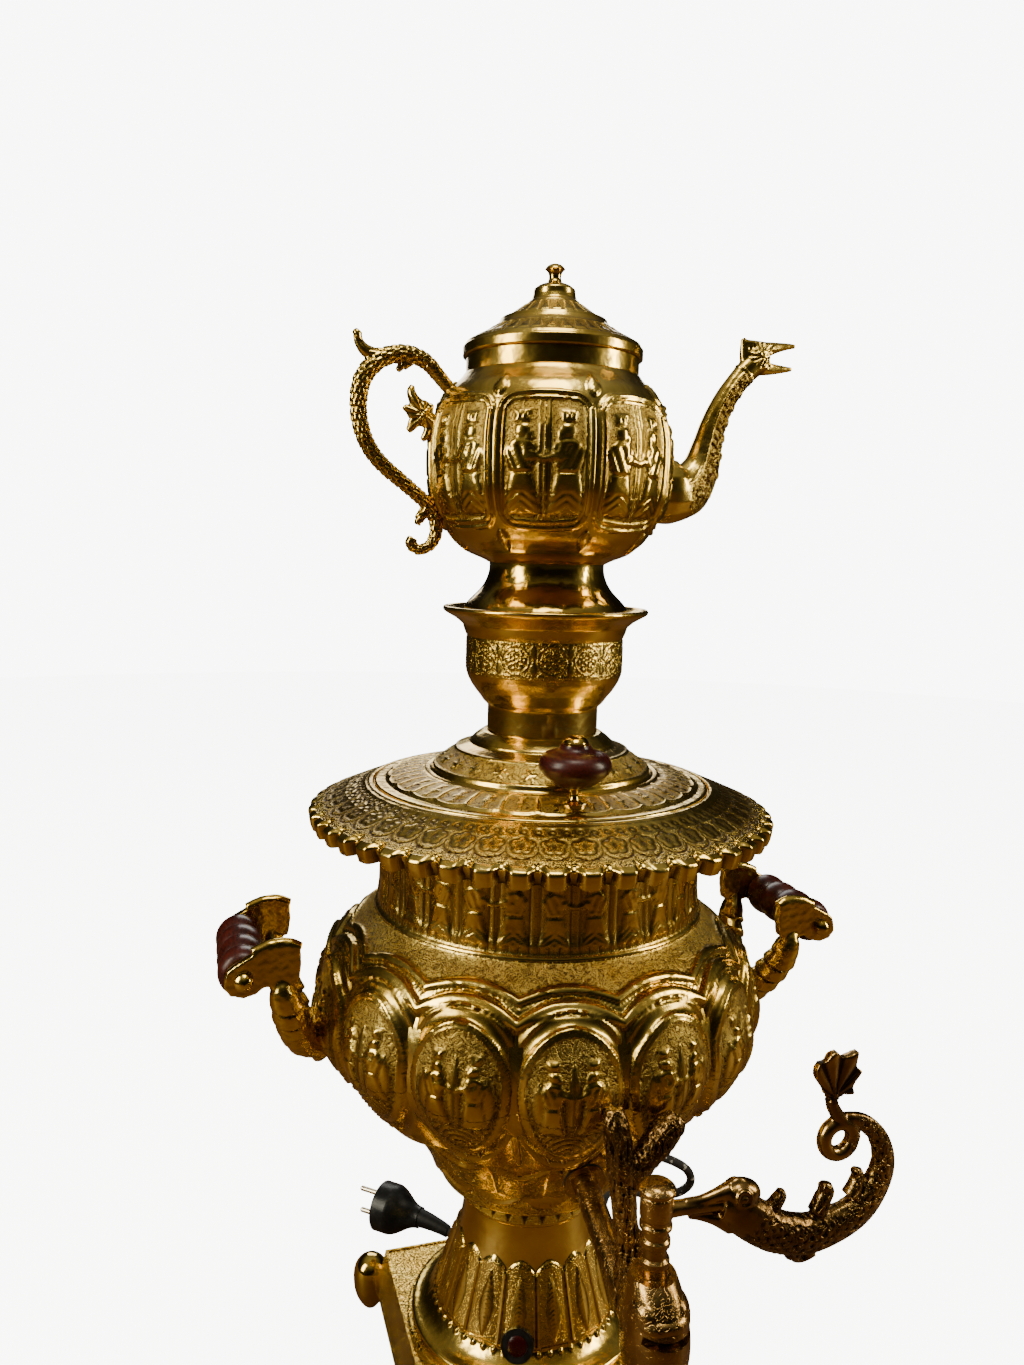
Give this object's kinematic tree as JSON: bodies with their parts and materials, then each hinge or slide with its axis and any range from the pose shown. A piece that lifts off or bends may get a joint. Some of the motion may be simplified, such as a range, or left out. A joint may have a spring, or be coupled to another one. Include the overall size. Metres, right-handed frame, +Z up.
{
  "type": "electric samovar",
  "caption": "Engraved gold-plated electric samovar on a footed square plinth, with a turning tap, side grips, lift-off lid, crown and teapot, and a mains lead.",
  "frame": {"origin": "middle of the footprint of the samovar without its cord, on the surface it stands on", "axes": "+Z up, -Y towards the tap, +X towards the teapot's spout"},
  "size_m": [0.393, 0.4382, 0.72],
  "materials": {
    "gold_plate": "gold-plated, engraved and polished",
    "antique_bronze": "darkened cast bronze, rubbed bright on the high places",
    "red_wood": "turned, stained dark red and lacquered",
    "steel": "plain steel",
    "plain_brass": "turned, unplated",
    "black_rubber": "matt",
    "black_plastic": "moulded",
    "red_lens": "dark red, clear",
    "nickel": "plated",
    "cord_braid": "black textile braid with white flecks",
    "lead_sleeve": "plain sleeve"
  },
  "bodies": {
    "samovar": {"plinth": "gold_plate", "plinth_feet": "gold_plate", "plinth_ring": "gold_plate", "base_skirt": "gold_plate", "waist_ring": "gold_plate", "urn_shell": "gold_plate", "rim_collar": "gold_plate", "handle_left": "gold_plate", "handle_right": "gold_plate", "rod_nuts": "gold_plate", "handle_rods": "gold_plate", "tap_body": "antique_bronze", "tap_tree": "antique_bronze", "grip_left": "red_wood", "grip_right": "red_wood", "foot_screws": "steel", "cover_screws": "steel", "base_screws": "steel", "tie_nuts": "steel", "tie_studs": "steel", "handle_screws": "steel", "heater_element": "steel", "thermostat": "steel", "bottom_cover": "steel", "heater_flange": "plain_brass", "heater_nut": "plain_brass", "tap_backnut": "plain_brass", "heater_gasket": "black_rubber", "tap_washer": "black_rubber", "plug_relief": "black_rubber", "cord_gland": "black_rubber", "lamp_bezel": "black_plastic", "lamp_body": "black_plastic", "plug_body": "black_plastic", "terminal_block": "black_plastic", "coil_tie": "black_plastic", "lamp_lens": "red_lens", "plug_pins": "nickel", "power_cord": "cord_braid", "cord_coil": "cord_braid", "inner_leads": "lead_sleeve"},
    "lid": {"lid": "gold_plate", "lid_knob_stems": "gold_plate", "lid_knob_nuts": "steel", "lid_knobs": "red_wood", "lid_knob_caps": "gold_plate"},
    "crown": {"crown_body": "gold_plate", "crown_plate": "gold_plate"},
    "teapot": {"teapot_foot": "gold_plate", "teapot_body": "gold_plate", "teapot_spout": "gold_plate", "teapot_handle": "gold_plate", "teapot_handle_leaf": "gold_plate"},
    "teapot_cover": {"teapot_lid": "gold_plate", "teapot_lid_knob": "gold_plate", "teapot_lid_nut": "steel"},
    "tap_turn": {"tap_plug": "antique_bronze", "tap_key": "antique_bronze", "tap_key_cap": "antique_bronze"}
  },
  "joints": [
    {"name": "tap_key_turn", "type": "hinge", "parent": "samovar", "child": "tap_turn", "pos_m": [0, -0.15348, 0.244], "axis": [0, 0, -1], "range_deg": [0, 90]},
    {"name": "lid_lift", "type": "slide", "parent": "samovar", "child": "lid", "axis": [0, 0, 1], "range_m": [0, 0.06]},
    {"name": "crown_lift", "type": "slide", "parent": "lid", "child": "crown", "axis": [0, 0, 1], "range_m": [0, 0.03]},
    {"name": "teapot_lift", "type": "slide", "parent": "crown", "child": "teapot", "axis": [0, 0, 1], "range_m": [0, 0.05]},
    {"name": "teapot_lid_lift", "type": "slide", "parent": "teapot", "child": "teapot_cover", "axis": [0, 0, 1], "range_m": [0, 0.03]}
  ]
}
